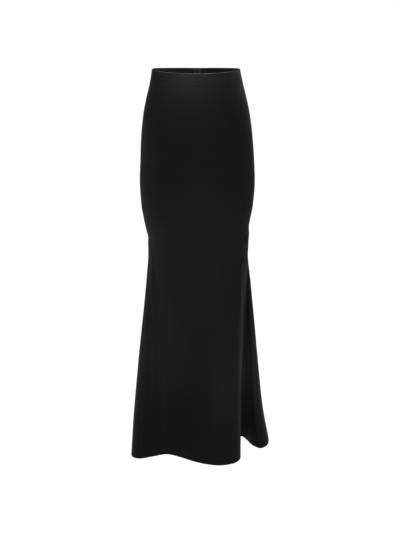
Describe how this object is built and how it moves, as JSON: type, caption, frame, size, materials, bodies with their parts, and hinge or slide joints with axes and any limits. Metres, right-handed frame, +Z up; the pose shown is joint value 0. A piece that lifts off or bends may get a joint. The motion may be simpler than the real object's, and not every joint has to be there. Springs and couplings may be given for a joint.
{
  "type": "mermaid fishtail skirt",
  "caption": "Long black mermaid skirt, hollow as worn, fitted from waist to knee and flared into folds at a level hem, with a waistband and a concealed back zip.",
  "frame": {"origin": "middle of the waist opening, level with the waist edge at the sides", "axes": "+Z up along the skirt, -Y to the front, +X to the wearer's left"},
  "size_m": [0.4185, 0.4429, 1.1317],
  "materials": {
    "crepe": "matte",
    "zip_tape": "matte",
    "zip_metal": "satin"
  },
  "bodies": {
    "skirt": {"front_panel": "crepe", "back_left_panel": "crepe", "back_right_panel": "crepe", "waistband": "crepe", "zip_tape_left": "zip_tape", "zip_tape_right": "zip_tape", "zip_slider": "zip_metal"},
    "zip_pull": {"zip_pull": "zip_metal"}
  },
  "joints": [
    {"name": "zip_pull_hinge", "type": "hinge", "parent": "skirt", "child": "zip_pull", "pos_m": [-0.00329, 0.09921, -0.01528], "axis": [1, 0, 0], "range_deg": [0, 165]}
  ]
}
